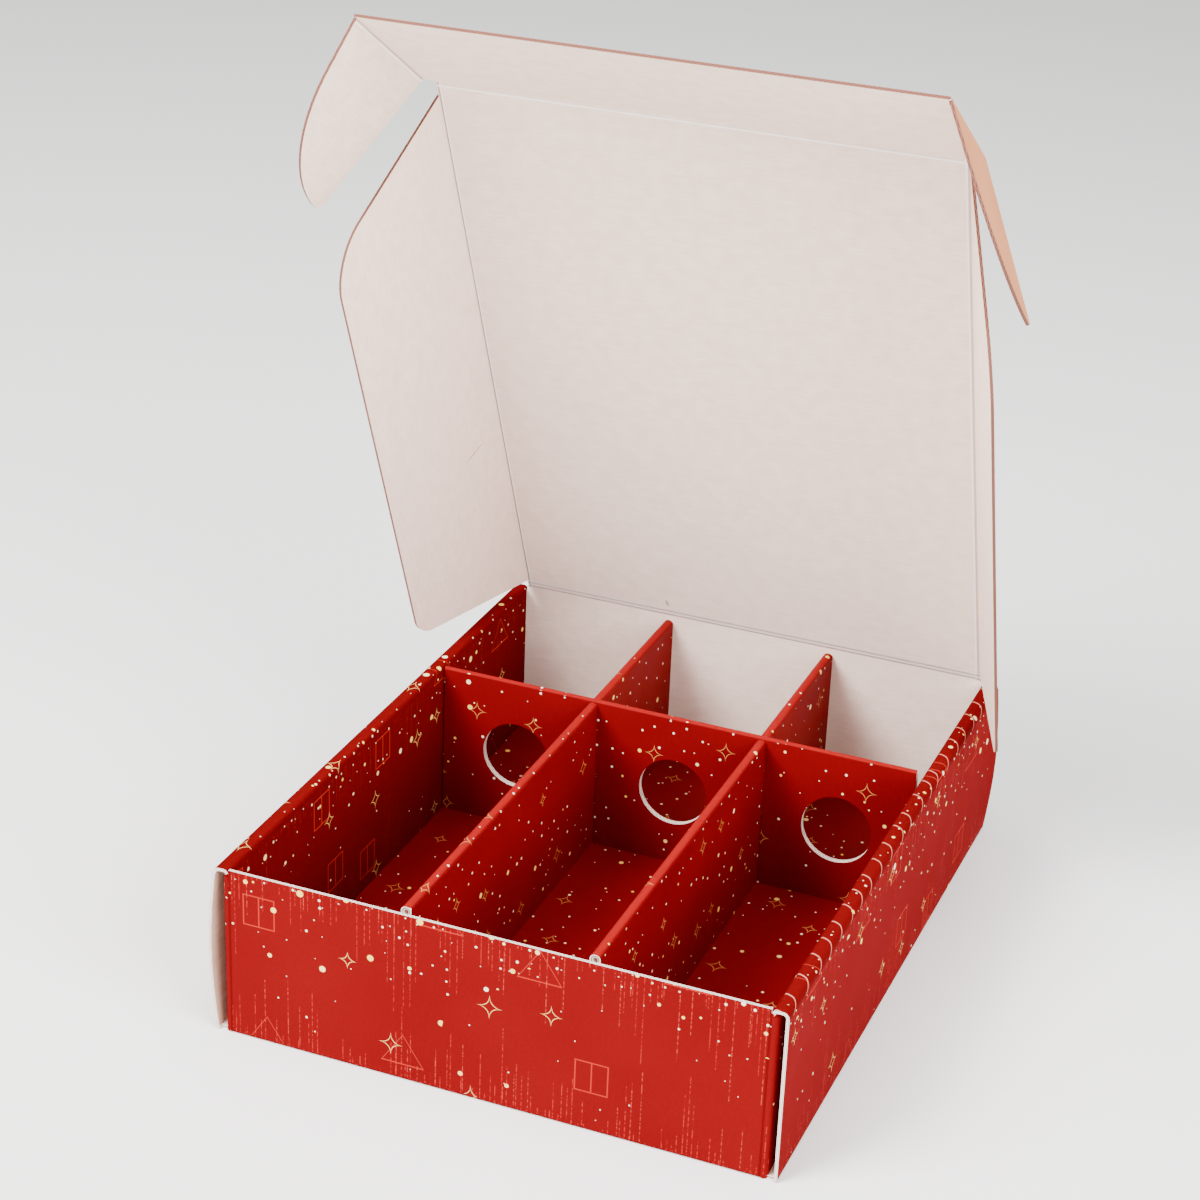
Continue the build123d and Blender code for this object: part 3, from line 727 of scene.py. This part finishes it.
def end_wall(end):
    """The wall at one end of the tray: end is -1 at the front and 1 at the back."""
    near, far = end * HALF_D, end * (HALF_D - FLAP_LENGTH)
    side = end
    plan = [(side * CORNER_X, far, 0), (side * CORNER_X, near, CORNER_FOLD),
            (-side * CORNER_X, near, CORNER_FOLD), (-side * CORNER_X, far, 0)]
    wall = fold(plan, (WALL_FOOT, wall_top[end]), X, Y, Z)
    seen = INNER_X - PLAY
    slice_at(wall, X, -seen, seen, -tongue, tongue, -fold_reach, fold_reach)
    slice_at(wall, Z, FLOOR_FOLD)
    drop(wall, lambda c: c.z < FLOOR_FOLD and abs(c.x) < fold_reach)
    slice_at(wall, Z, hidden_top, HEIGHT - TONGUE_ROOT)
    drop(wall, lambda c: c.z > hidden_top and abs(c.x) > seen)
    if end > 0:
        drop(wall, lambda c: c.z > HEIGHT - TONGUE_ROOT and abs(c.x) > tongue)
    for height, lean in ((LOW, 1), (hidden_top, -1)):
        normal = Vector((0, lean * end * FLAP_TAPER, FLAP_LENGTH)).normalized()
        level = Vector((0, end * (HALF_D - CORNER_FOLD), height))
        cut(wall, level, normal)
        drop(wall, lambda c: abs(c.y) < INNER_Y - 1 and lean * (c - level).dot(normal) < 0)
    thicken(wall, BOARD)
    return wall


def round_edges(bm, radius, test):
    """Give both corners of a cut edge a quarter round, so that the creased edge is a full round."""
    picked = [e for e in bm.edges if all(test(v.co) for v in e.verts)
              and {f.material_index for f in e.link_faces} != {CUT}
              and len({f.material_index for f in e.link_faces}) == 2]
    bmesh.ops.bevel(bm, geom=picked, affect="EDGES", offset=radius, offset_type="OFFSET", segments=5,
                    profile=0.5, material=-1, clamp_overlap=False)


def bottom_fold(end):
    """The round fold between the floor and an end wall."""
    near, flat = end * HALF_D, end * (HALF_D - FLOOR_FOLD)
    corners = [(near, FLOOR_FOLD, 0), (near, 0, FLOOR_FOLD), (flat - end * CLOSE, 0, 0)]
    strip = fold(corners if end < 0 else corners[::-1], (-fold_reach, fold_reach), Y, Z, X)
    thicken(strip, BOARD)
    return strip


FRONT_SHEET, BACK_SHEET, FOLD_SHEET = (500.0, 0.0), (1200.0, 0.0), (723.4, -3.0)
front_wall, back_wall = end_wall(-1), end_wall(1)
lay_out(front_wall, "run", FRONT_SHEET)
lay_out(back_wall, "run", BACK_SHEET)
folds = [bottom_fold(-1), bottom_fold(1)]
for strip in folds:
    lay_out(strip, "span", FOLD_SHEET)
make_piece("tray_board", [sides, front_wall, back_wall, *folds], BOX_BOARD, "box", "box_board", "tray")

# %% [markdown]
# ## Flat panels
# The lid and its flaps turn at their creases. Each is a face with rounded corners, made as thick as the
# board, and its creased edges get a full round about the crease's axis, so that two panels meet in one
# smooth fold at every angle.

# %% Make a flat panel
FACING, CORNER_STEPS = 0.05, 12


def board_from(bm, inward):
    """Turn a flat face so that its print looks outwards, and make it as thick as the board."""
    bm.normal_update()
    if bm.faces[:][0].normal.dot(inward) > 0:
        bmesh.ops.reverse_faces(bm, faces=bm.faces[:])
    thicken(bm, BOARD)
    return bm


def panel(outline, rounds, origin, u, v, inward):
    """A panel of board from (u, v) corners in mm; rounds maps a corner's number to its radius."""
    bm = new_sheet()
    outer = origin - inward * (BOARD / 2)
    corners = [bm.verts.new(outer + u * p + v * q) for p, q in outline]
    bm.faces.new(corners)
    for number, radius in rounds.items():
        corner = corners[number]
        first, second = [(e.other_vert(corner).co - corner.co).normalized() for e in corner.link_edges]
        round_corner(bm, corner, radius / math.tan(first.angle(second) / 2), CORNER_STEPS)
    return board_from(bm, inward)


def finish_panel(bm, origin, u, v, inward, creases, shift):
    """Round the creased edges, sort the new faces and lay the sheet out."""
    def where(point):
        local = point - origin
        return local.dot(u), local.dot(v)

    for test in creases:
        round_edges(bm, BOARD / 2 - CLOSE, lambda co: test(*where(co)))
    run, span, depth = [bm.verts.layers.float[name] for name in ("run", "span", "depth")]
    bm.normal_update()
    for vert in bm.verts:
        vert[span], vert[run] = where(vert.co)
        vert[depth] = (vert.co - origin).dot(inward) / BOARD + 0.5
    for face in bm.faces:
        if any(all(test(*where(vert.co)) for vert in face.verts) for test in creases):
            face.material_index = OUTSIDE
        elif len(face.verts) == 4 and face.material_index != INSIDE and face.normal.dot(inward) > FACING:
            face.material_index = INSIDE
    lay_out(bm, "span", shift)
    return bm


# %% Score lines
SCORE_HEIGHT, SCORE_HALF = 0.35, 0.8


def score_line(bm, origin, axis, place, inward, crease, dark):
    """Raise a line on the inner side, place mm along an axis, painted bright as a highlight, with a line of
    painted shade beside it.

    crease is 1 or -1: the way along the axis in which the crease lies. dark is 0 to 1.
    """
    painted_score_light, painted_dent_shade = [bm.verts.layers.float.get(name) or bm.verts.layers.float.new(name)
                      for name in ("painted_score_light", "painted_dent_shade")]
    depth = bm.verts.layers.float["depth"]
    for shift in (-SCORE_HALF, 0.0, SCORE_HALF):
        cut(bm, origin + axis * (place + shift), axis)
    for vert in bm.verts:
        along = (vert.co - origin).dot(axis) - place
        on_inside = vert[depth] > 0.9
        if on_inside and abs(along) < CLOSE:
            vert.co += inward * SCORE_HEIGHT
            vert[painted_score_light] = 1.0
        elif on_inside and abs(along - SCORE_HALF * crease) < CLOSE:
            vert[painted_dent_shade] = dark


# %% [markdown]
# ## Lid, lid flaps, front flap and wings
# The lid turns at the back wall. Its side flaps are splayed, and the front flap is folded half way in,
# with a round wing at each end for the slot at the tray's front corner. The creasing tool leaves a
# raised score line along a crease, and two of them at the hinge. Each is painted bright as a highlight,
# with painted shade beside it for the dent.

# %% Lid
CHILD, PARENT = BOARD / 2, BOARD / 2 - 0.1
rear_edge, front_edge, side_edge = -CHILD, LID_LENGTH + PARENT, FLAP_X + PARENT
lid = panel([(-side_edge, rear_edge), (side_edge, rear_edge), (side_edge, front_edge),
             (-side_edge, front_edge)], {}, hinge, X, LID_OUT, LID_IN)
lid_creases = [lambda u, v: v < rear_edge + CLOSE, lambda u, v: v > front_edge - CLOSE,
               lambda u, v: u > side_edge - CLOSE, lambda u, v: u < CLOSE - side_edge]
finish_panel(lid, hinge, X, LID_OUT, LID_IN, lid_creases, (LID_SHEET, 0))
SCORE_IN, SECOND_SCORE, FAR_SCORE = 2.0, 4.8, 2.4
for axis, place, crease, dark in (
        (LID_OUT, SCORE_IN, -1, 0.2), (LID_OUT, SECOND_SCORE, -1, 0.2),
        (LID_OUT, LID_LENGTH - FAR_SCORE, 1, 0.15), (X, SCORE_IN - FLAP_X, -1, 1.0),
        (X, FLAP_X - FAR_SCORE, 1, 0.6)):
    score_line(lid, hinge, axis, place, LID_IN, crease, dark)
make_piece("lid_board", [lid], LID_BOARD, "lid", "box_board", "lid_panel")

# %% Side flaps of the lid
FLAP_DEPTH, FLAP_REAR, FLAP_AHEAD = 92.0, 5.0, 8.0
REAR_TAPER, AHEAD_TAPER = 19.8, 27.0
FLAP_ROUNDS = {2: 40.0, 3: 16.0}


def fold_from(side, angle, out, inward):
    """The direction and the inner side of a panel folded up from its neighbour by an angle."""
    turn = math.radians(angle)
    return (out * side * math.cos(turn) + inward * math.sin(turn),
            inward * math.cos(turn) - out * side * math.sin(turn))


RIGHT_FLAP_SHEET = 2900.0
for side, name, splay, shift in ((-1, "left", 17.8, LEFT_FLAP_SHEET), (1, "right", 21.5, RIGHT_FLAP_SHEET)):
    origin = Vector((side * FLAP_X, hinge.y, hinge.z))
    out, inward = fold_from(side, 90 - splay, X, LID_IN)
    rear, ahead = FLAP_REAR, LID_LENGTH - FLAP_AHEAD
    low_rear = rear + FLAP_DEPTH * math.tan(math.radians(REAR_TAPER))
    low_ahead = ahead - FLAP_DEPTH * math.tan(math.radians(AHEAD_TAPER))
    flap = panel([(rear, -CHILD), (ahead, -CHILD), (low_ahead, FLAP_DEPTH), (low_rear, FLAP_DEPTH)],
                 FLAP_ROUNDS, origin, LID_OUT, out, inward)
    finish_panel(flap, origin, LID_OUT, out, inward, [lambda u, v: v < CLOSE - CHILD], (shift, 0))
    make_piece(f"lid_flap_{name}_board", [flap], LID_BOARD, f"{name}_flap", "box_board",
               f"lid_flap_{name}")

# %% Front flap
FRONT_DEPTH, NOTCH, FRONT_FLAP_SHEET = 92.0, 2.5, 3400.0
crease_end, wing_edge = FLAP_X - TONGUE_INSET, SLOT_X + PARENT
half_outline = [(crease_end, -CHILD), (crease_end, 0.0), (crease_end + NOTCH, NOTCH), (wing_edge, NOTCH),
                (wing_edge, FRONT_DEPTH)]
front = panel(half_outline + [(-u, v) for u, v in reversed(half_outline)], {}, front_crease, X,
              FRONT_OUT, FRONT_IN)
front_creases = [lambda u, v: v < CLOSE - CHILD, lambda u, v: u > wing_edge - CLOSE,
                 lambda u, v: u < CLOSE - wing_edge]
finish_panel(front, front_crease, X, FRONT_OUT, FRONT_IN, front_creases, (FRONT_FLAP_SHEET, 0))
make_piece("front_flap_board", [front], LID_BOARD, "front", "box_board", "front_flap")

# %% Wings
WING_R, WING_START, WING_END, TIP_R = 86.0, 3.0, FRONT_DEPTH - 1.0, 7.0
WING_FOLD, WING_STEPS, TIP_STEPS, WING_DENT_SHADE = 63.0, 24, 8, 0.8
LEFT_WING_SHEET, RIGHT_WING_SHEET = 3900.0, 4200.0


def wing_face(origin, u, v, inward):
    """A thin wing: its round side is a vertex spun about the front corner of the lid."""
    bm = new_sheet()
    start, stop = math.acos(WING_R / WING_END), math.acos(WING_START / WING_R)
    outer = origin - inward * (BOARD / 2)
    ring = bm.verts.new(outer + (u * math.cos(start) + v * math.sin(start)) * WING_R)
    bmesh.ops.spin(bm, geom=[ring], cent=outer, axis=u.cross(v), angle=stop - start,
                   steps=WING_STEPS, use_merge=False)
    tip = max(bm.verts, key=lambda vert: (vert.co - outer).dot(v))
    low = [bm.verts.new(outer + u * p - v * CHILD) for p in (WING_START, WING_END)]
    for pair in ((tip, low[0]), (low[0], low[1]), (low[1], ring)):
        bm.edges.new(pair)
    bmesh.ops.contextual_create(bm, geom=bm.edges[:])
    round_corner(bm, tip, TIP_R, TIP_STEPS)
    return board_from(bm, inward)


for side, name, shift in ((-1, "left", LEFT_WING_SHEET), (1, "right", RIGHT_WING_SHEET)):
    origin = Vector((side * SLOT_X, front_crease.y, front_crease.z))
    out, inward = fold_from(side, WING_FOLD, X, FRONT_IN)
    wing = wing_face(origin, FRONT_OUT, out, inward)
    finish_panel(wing, origin, FRONT_OUT, out, inward, [lambda u, v: v < CLOSE - CHILD], (shift, 0))
    score_line(wing, origin, out, SCORE_IN, inward, -1, WING_DENT_SHADE)
    make_piece(f"wing_{name}_board", [wing], WING_BOARD, f"{name}_wing", "box_board", f"wing_{name}")

# %% [markdown]
# ## Bay insert and cross partition
# The insert is one sheet with two fins folded up out of its floor, each of two layers and a little
# hollow. The partition is a sheet folded over at its top. Both are slotted half way where they cross.
# A neck hole goes through both layers: the square around it comes out, and a fill between the square
# and a circle puts it back with the hole in it.

# %% Insert
LAP_PLAY, INSERT_SHEET = 0.4, (0.0, 600.0)
insert_low, insert_high = corners_mm("bay_insert")
part_low, part_high = corners_mm("cross_partition")
FIN_X, FIN_HALF, FIN_FOLD, BASE_FOLD = 49.5, 2.8, 2.52, 0.4
INSERT_TOP, FIN_TOP = insert_low.z + INSERT_BOARD, insert_high.z
part_y = (part_low.y + part_high.y) / 2
LAP = (part_low.z + FIN_TOP) / 2
path = [(insert_high.x, INSERT_TOP, 0)]
for fin in (FIN_X, -FIN_X):
    path += [(fin + FIN_HALF, INSERT_TOP, BASE_FOLD), (fin + FIN_HALF, FIN_TOP, FIN_FOLD),
             (fin - FIN_HALF, FIN_TOP, FIN_FOLD), (fin - FIN_HALF, INSERT_TOP, BASE_FOLD)]
path += [(insert_low.x, INSERT_TOP, 0)]
insert = fold(path, (insert_low.y, insert_high.y), X, Z, Y)
slot_half = (part_high.y - part_low.y) / 2 + LAP_PLAY
slice_at(insert, Y, part_y - slot_half, part_y + slot_half)
slice_at(insert, Z, LAP - LAP_PLAY)
drop(insert, lambda c: c.z > LAP - LAP_PLAY and abs(c.y - part_y) < slot_half)
thicken(insert, INSERT_BOARD)
paint_top_highlights(insert, FIN_TOP)
lay_out(insert, "span", INSERT_SHEET)
make_piece("insert_board", [insert], INSERT_BOARD_MATERIALS, "box", "insert_board", "bay_insert")

# %% Partition
HOLE_R, HOLE_Z, HOLE_CELL, PART_FOLD, PARTITION_SHEET = 20.0, 48.0, 24.0, 1.53, (700.0, 0.0)
notch_half = FIN_HALF + LAP_PLAY
bay = (INNER_X - FIN_X) / 2
holes = (-INNER_X + bay, 0.0, INNER_X - bay)
path = [(part_high.y, part_low.z, 0), (part_high.y, part_high.z, PART_FOLD),
        (part_low.y, part_high.z, PART_FOLD), (part_low.y, part_low.z, 0)]
partition = fold(path, (part_low.x, part_high.x), Y, Z, X)
for x in (-FIN_X, FIN_X):
    slice_at(partition, X, x - notch_half, x + notch_half)
for x in holes:
    slice_at(partition, X, x - HOLE_CELL, x + HOLE_CELL)
slice_at(partition, Z, LAP + LAP_PLAY, HOLE_Z - HOLE_CELL, HOLE_Z + HOLE_CELL)
drop(partition, lambda c: c.z < LAP + LAP_PLAY and abs(abs(c.x) - FIN_X) < notch_half)


# %% Neck holes
def in_cell(point, x):
    """Whether a point is in the square around the hole at x."""
    return abs(point.x - x) < HOLE_CELL + CLOSE and abs(point.z - HOLE_Z) < HOLE_CELL + CLOSE


for x in holes:
    for y in (part_low.y, part_high.y):
        cell = [f for f in partition.faces
                if all(in_cell(v.co, x) and abs(v.co.y - y) < CLOSE for v in f.verts)]
        rim = [e for e in {e for f in cell for e in f.edges} if len(set(e.link_faces) & set(cell)) == 1]
        inner = [e for e in {e for f in cell for e in f.edges} if e not in rim]
        bmesh.ops.delete(partition, geom=cell, context="FACES_ONLY")
        bmesh.ops.delete(partition, geom=inner, context="EDGES")
        turn = Matrix.Translation((x, y, HOLE_Z)) @ Matrix.Rotation(math.pi / 2, 4, "X")
        ring = bmesh.ops.create_circle(partition, segments=48, radius=HOLE_R, matrix=turn)["verts"]
        edges = list({e for v in ring for e in v.link_edges})
        made = bmesh.ops.triangle_fill(partition, use_beauty=True, use_dissolve=False, normal=Y,
                                       edges=rim + edges)["geom"]
        print("neck hole at", round(x), ":", sum(isinstance(g, bmesh.types.BMFace) for g in made), "faces")

# %% The partition's sheet coordinates and thickness
FACE_OUT, UNFOLDED = 1.6, 183
run, span = partition.verts.layers.float["run"], partition.verts.layers.float["span"]
for vert in partition.verts:
    vert[span] = vert.co.x
    if abs(vert.co.y - part_y) > FACE_OUT:
        vert[run] = vert.co.z if vert.co.y > part_y else UNFOLDED - vert.co.z
bmesh.ops.recalc_face_normals(partition, faces=partition.faces[:])
top = max(partition.faces, key=lambda f: f.calc_center_median().z)
if top.normal.z < 0:
    bmesh.ops.reverse_faces(partition, faces=partition.faces[:])
thicken(partition, INSERT_BOARD)
paint_top_highlights(partition, part_high.z)
lay_out(partition, "span", PARTITION_SHEET)
make_piece("partition_board", [partition], INSERT_BOARD_MATERIALS, "box", "insert_board",
           "cross_partition")

# %% [markdown]
# ## Floor, light and camera
# A pale studio floor under soft light from large lamps. The key light stands high up to the front left,
# so that the inside of the lid is evenly lit and the bays get darker towards their floor. A fill on the
# right lights the side wall. The camera looks down with a long lens, so edges stay nearly parallel.

# %% Floor
FLOOR_HALF, FLOOR_DROP = 6.0, 0.0002
floor_mesh = bpy.data.meshes.new("studio_floor")
bm = bmesh.new()
bmesh.ops.create_grid(bm, x_segments=1, y_segments=1, size=FLOOR_HALF)
bm.to_mesh(floor_mesh)
bm.free()
floor = new_object("studio_floor", floor_mesh)
floor.location.z = -FLOOR_DROP
paper = bpy.data.materials.new("studio_paper")
paper.use_nodes = True
paper_shader = paper.node_tree.nodes["Principled BSDF"]
paper_shader.inputs["Base Color"].default_value = linear("#F4F2F0")
paper_shader.inputs["Roughness"].default_value = 0.9
floor_mesh.materials.append(paper)
print(f"floor {2 * FLOOR_HALF:.0f} m wide")

# %% Light
DAYLIGHT, WHITE = 0.6, "#FFFFFF"
world = bpy.data.worlds.new("studio_world")
world.use_nodes = True
background = world.node_tree.nodes["Background"]
background.inputs["Color"].default_value = linear(WHITE)
background.inputs["Strength"].default_value = DAYLIGHT
bpy.context.scene.world = world


def softbox(name, place, target, size, power):
    """A large square lamp that points at a target."""
    lamp = bpy.data.lights.new(name, "AREA")
    lamp.size, lamp.energy = size, power
    holder = new_object(name, lamp)
    holder.location = place
    holder.rotation_mode = "QUATERNION"
    holder.rotation_quaternion = (Vector(target) - Vector(place)).to_track_quat("-Z", "Y")
    print(f"{name}: {size} m, {power} W")


softbox("key_light", place=(-1.1, -1.5, 1.9), target=(0, 0, 0.15), size=1.2, power=178)
softbox("fill_light", place=(1.7, -0.9, 1.2), target=(0, 0, 0.15), size=1.4, power=90)
softbox("top_light", place=(0.1, -0.3, 2.2), target=(0, 0, 0.1), size=1.5, power=42)

# %% Camera
AT, TOWARD, ROLL = Vector((0.4501, -1.2154, 0.8083)), Vector((-0.0358, 0.0330, 0.1722)), 2.33
LENS, SENSOR = 83.6, 36.0
camera_data = bpy.data.cameras.new("camera")
camera_data.lens = LENS
camera_data.sensor_width = SENSOR
camera = new_object("camera", camera_data)
ahead = (TOWARD - AT).normalized()
level = ahead.cross(Z).normalized()
upright = level.cross(ahead)
tilt = math.radians(ROLL)
right = level * math.cos(tilt) + upright * math.sin(tilt)
up = upright * math.cos(tilt) - level * math.sin(tilt)
pose = Matrix((right, up, -ahead)).transposed().to_4x4()
pose.translation = AT
camera.matrix_world = pose
bpy.context.scene.camera = camera
print(f"camera {(TOWARD - AT).length:.2f} m away, {LENS} mm lens")
